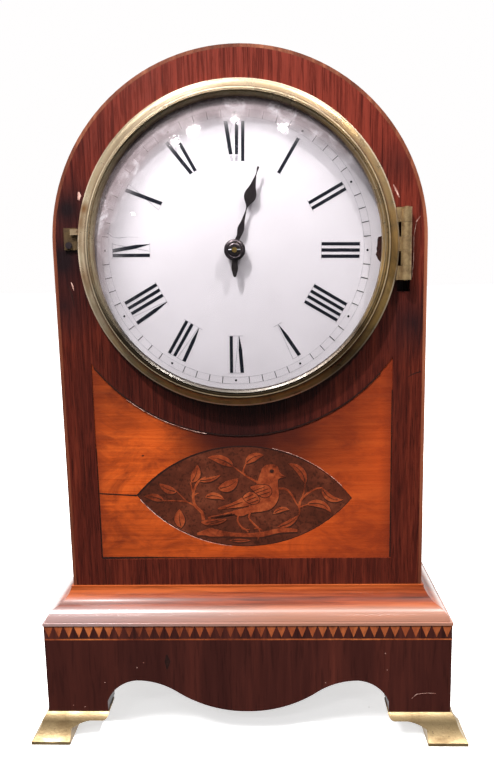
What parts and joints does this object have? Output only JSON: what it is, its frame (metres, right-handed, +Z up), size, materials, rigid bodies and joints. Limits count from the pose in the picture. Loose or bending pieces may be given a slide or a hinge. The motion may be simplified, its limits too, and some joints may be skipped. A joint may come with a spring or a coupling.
{
  "type": "bracket clock",
  "caption": "Arched-top mahogany bracket clock: hinged brass bezel over a white round dial, inlaid panel, moulded plinth on brass bracket feet, glazed rear door, rear-wound pendulum movement.",
  "frame": {"origin": "on the ground, at the centre of the footprint of the four feet", "axes": "+Z up; -Y out of the dial, towards the viewer; +X to the viewer's right"},
  "size_m": [0.2212, 0.1482, 0.3405],
  "materials": {
    "veneer": "french polished figured mahogany veneer",
    "case_wood": "polished mahogany",
    "carcase_wood": "plain unpolished wood",
    "base_wood": "dark polished mahogany",
    "moulding_wood": "glossy polished mahogany",
    "line_wood": "boxwood line",
    "satinwood": "polished satinwood veneer",
    "marquetry": "marquetry of stained and shaded woods",
    "dogtooth": "banding of light and dark woods",
    "case_brass": "worn cast brass",
    "clock_glass": "clear glass",
    "enamel": "white vitreous enamel",
    "blued_steel": "dark blued steel",
    "steel": "polished steel",
    "train_brass": "polished brass"
  },
  "bodies": {
    "case": {"front_board": "veneer", "edge_stringing": "line_wood", "satinwood_panel": "satinwood", "inlay_plaque": "marquetry", "arch_top": "case_wood", "case_sides": "case_wood", "base_board": "carcase_wood", "base_moulding": "moulding_wood", "plinth_front": "base_wood", "plinth_sides": "base_wood", "plinth_back": "base_wood", "banding": "dogtooth", "front_feet": "case_brass", "back_feet": "case_brass", "case_hinge_leaf": "case_brass", "bezel_hinge_pin": "case_brass", "catch_plate": "case_brass", "dial_plate": "enamel", "glue_blocks": "carcase_wood", "case_screws": "steel", "seatboard": "carcase_wood", "back_frame": "case_wood", "frame_hinge_leaves": "case_brass", "door_hinge_pins": "case_brass", "plate_front": "train_brass", "plate_back": "train_brass", "pillars": "train_brass", "movement_fasteners": "steel", "click_spring": "steel", "suspension_cock": "train_brass"},
    "bezel": {"bezel_ring": "case_brass", "bezel_glass": "clock_glass", "glass_ring": "case_brass", "bezel_hinge_leaf": "case_brass", "bezel_tab": "case_brass"},
    "rear_door": {"door_frame": "case_wood", "door_glass": "clock_glass", "door_hinge_leaves": "case_brass"},
    "latch": {"door_latch": "case_brass"},
    "minute_arbor": {"centre_wheel": "train_brass", "cannon_pinion": "steel", "minute_hand": "blued_steel", "hand_collet": "blued_steel", "hand_pin": "blued_steel"},
    "hour_work": {"hour_wheel": "train_brass", "hour_hand": "blued_steel"},
    "minute_work": {"minute_wheel": "train_brass"},
    "second_arbor": {"second_wheel": "train_brass"},
    "going_barrel": {"barrel": "train_brass", "mainspring": "steel"},
    "third_arbor": {"third_wheel": "train_brass"},
    "escape_arbor": {"escape_wheel": "train_brass"},
    "winding_arbor": {"barrel_arbor": "steel", "ratchet_wheel": "steel"},
    "click_pawl": {"click": "steel"},
    "anchor": {"pallets": "steel"},
    "pendulum": {"suspension_spring": "steel", "pendulum_rod": "steel"},
    "bob": {"pendulum_bob": "train_brass"},
    "nut": {"rating_nut": "train_brass"}
  },
  "joints": [
    {"name": "bezel_door", "type": "hinge", "parent": "case", "child": "bezel", "pos_m": [0.0793, -0.0568, 0.2483], "axis": [0, 0, 1], "range_deg": [0, 120]},
    {"name": "rear_door", "type": "hinge", "parent": "case", "child": "rear_door", "pos_m": [0.0654, 0.0689, 0.2], "axis": [0, 0, -1], "range_deg": [0, 110]},
    {"name": "latch_turn", "type": "hinge", "parent": "rear_door", "child": "latch", "pos_m": [-0.0583, 0.0665, 0.172], "axis": [0, -1, 0], "range_deg": [0, 90]},
    {"name": "minute_arbor_turn", "type": "hinge", "parent": "case", "child": "minute_arbor", "pos_m": [-0.0015, -0.04, 0.247], "axis": [0, 1, 0], "continuous": true},
    {"name": "hour_turn", "type": "hinge", "parent": "case", "child": "hour_work", "pos_m": [-0.0015, -0.04, 0.247], "axis": [0, 1, 0], "continuous": true},
    {"name": "minute_work_turn", "type": "hinge", "parent": "case", "child": "minute_work", "pos_m": [-0.0015, -0.04, 0.235], "axis": [0, 1, 0], "continuous": true},
    {"name": "second_arbor_turn", "type": "hinge", "parent": "case", "child": "second_arbor", "pos_m": [0.0093, -0.04, 0.22829], "axis": [0, 1, 0], "continuous": true},
    {"name": "barrel_turn", "type": "hinge", "parent": "case", "child": "going_barrel", "pos_m": [-0.01657, -0.04, 0.21085], "axis": [0, 1, 0], "continuous": true},
    {"name": "third_arbor_turn", "type": "hinge", "parent": "case", "child": "third_arbor", "pos_m": [-0.01743, -0.04, 0.26037], "axis": [0, 1, 0], "continuous": true},
    {"name": "escape_arbor_turn", "type": "hinge", "parent": "case", "child": "escape_arbor", "pos_m": [-0.0015, -0.04, 0.27374], "axis": [0, 1, 0], "continuous": true},
    {"name": "winding", "type": "hinge", "parent": "case", "child": "winding_arbor", "pos_m": [-0.01657, -0.04, 0.21085], "axis": [0, 1, 0], "range_deg": [0, 2160]},
    {"name": "click_pivot", "type": "hinge", "parent": "case", "child": "click_pawl", "pos_m": [-0.01657, 0.003, 0.22405], "axis": [0, 1, 0], "range_deg": [-10, 16]},
    {"name": "pendulum_swing", "type": "hinge", "parent": "case", "child": "pendulum", "pos_m": [-0.0015, 0.0095, 0.29324], "axis": [0, 1, 0], "range_deg": [-3, 3]},
    {"name": "anchor_swing", "type": "hinge", "parent": "case", "child": "anchor", "pos_m": [-0.0015, -0.04, 0.29324], "axis": [0, 1, 0], "range_deg": [-3, 3]},
    {"name": "rating_nut_turn", "type": "hinge", "parent": "bob", "child": "nut", "pos_m": [-0.0015, 0.0095, 0.101], "axis": [0, 0, 1], "range_deg": [-900, 900]},
    {"name": "bob_height", "type": "slide", "parent": "pendulum", "child": "bob", "axis": [0, 0, 1], "range_m": [-0.002, 0.002]}
  ],
  "couplings": [
    {"joint": "hour_turn", "follows": "minute_arbor_turn", "ratio": 0.083333},
    {"joint": "minute_work_turn", "follows": "minute_arbor_turn", "ratio": -0.33333},
    {"joint": "second_arbor_turn", "follows": "minute_arbor_turn", "ratio": -0.2},
    {"joint": "barrel_turn", "follows": "minute_arbor_turn", "ratio": 0.028571},
    {"joint": "third_arbor_turn", "follows": "minute_arbor_turn", "ratio": -12},
    {"joint": "escape_arbor_turn", "follows": "minute_arbor_turn", "ratio": 144},
    {"joint": "anchor_swing", "follows": "pendulum_swing", "ratio": 1},
    {"joint": "rating_nut_turn", "follows": "bob_height", "rad_per_m": 7854}
  ]
}
